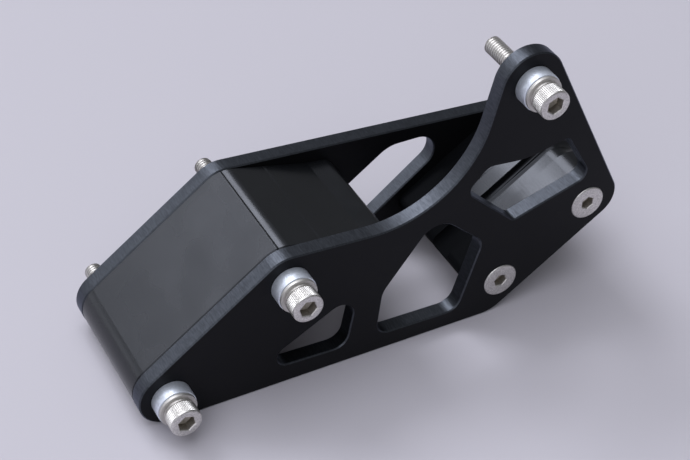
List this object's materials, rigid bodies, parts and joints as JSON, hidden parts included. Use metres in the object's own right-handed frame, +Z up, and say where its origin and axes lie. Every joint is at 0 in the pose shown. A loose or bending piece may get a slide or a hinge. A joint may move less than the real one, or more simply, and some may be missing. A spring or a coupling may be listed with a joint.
{
  "type": "motorcycle chain guard",
  "caption": "Motorcycle chain guard: windowed side plates bolted either side of a bent wear block and a grooved chain slider, with studs for mounting.",
  "frame": {"origin": "on the lower mounting screw's axis, in the outer face of the rear plate, where the guard meets the motorcycle", "axes": "+X along the guard from the mounting end to the tail, +Y along the screws towards the motorcycle, +Z up"},
  "size_m": [0.1677, 0.076, 0.0998],
  "materials": {
    "anodised_plate": "matte black anodised, fine milled edges",
    "block_plastic": "satin black machined plastic",
    "slider_plastic": "satin black machined plastic",
    "sleeve_steel": "turned steel",
    "stainless_screw": "bright stainless steel",
    "washer_steel": "matte stainless steel",
    "zinc_spacer": "bluish zinc plated, satin",
    "brass_insert": "turned brass"
  },
  "bodies": {
    "root": {"front_plate": "anodised_plate", "rear_plate": "anodised_plate", "wear_block": "block_plastic", "lower_block_sleeve": "sleeve_steel", "upper_block_sleeve": "sleeve_steel", "chain_slider": "slider_plastic", "lower_cap_screw": "stainless_screw", "lower_washer": "washer_steel", "lower_spacer": "zinc_spacer", "upper_cap_screw": "stainless_screw", "upper_washer": "washer_steel", "upper_spacer": "zinc_spacer", "ear_cap_screw": "stainless_screw", "ear_washer": "washer_steel", "ear_spacer": "zinc_spacer", "front_low_countersunk_screw": "stainless_screw", "rear_low_countersunk_screw": "stainless_screw", "front_low_insert": "brass_insert", "rear_low_insert": "brass_insert", "front_high_countersunk_screw": "stainless_screw", "rear_high_countersunk_screw": "stainless_screw", "front_high_insert": "brass_insert", "rear_high_insert": "brass_insert"}
  },
  "joints": []
}
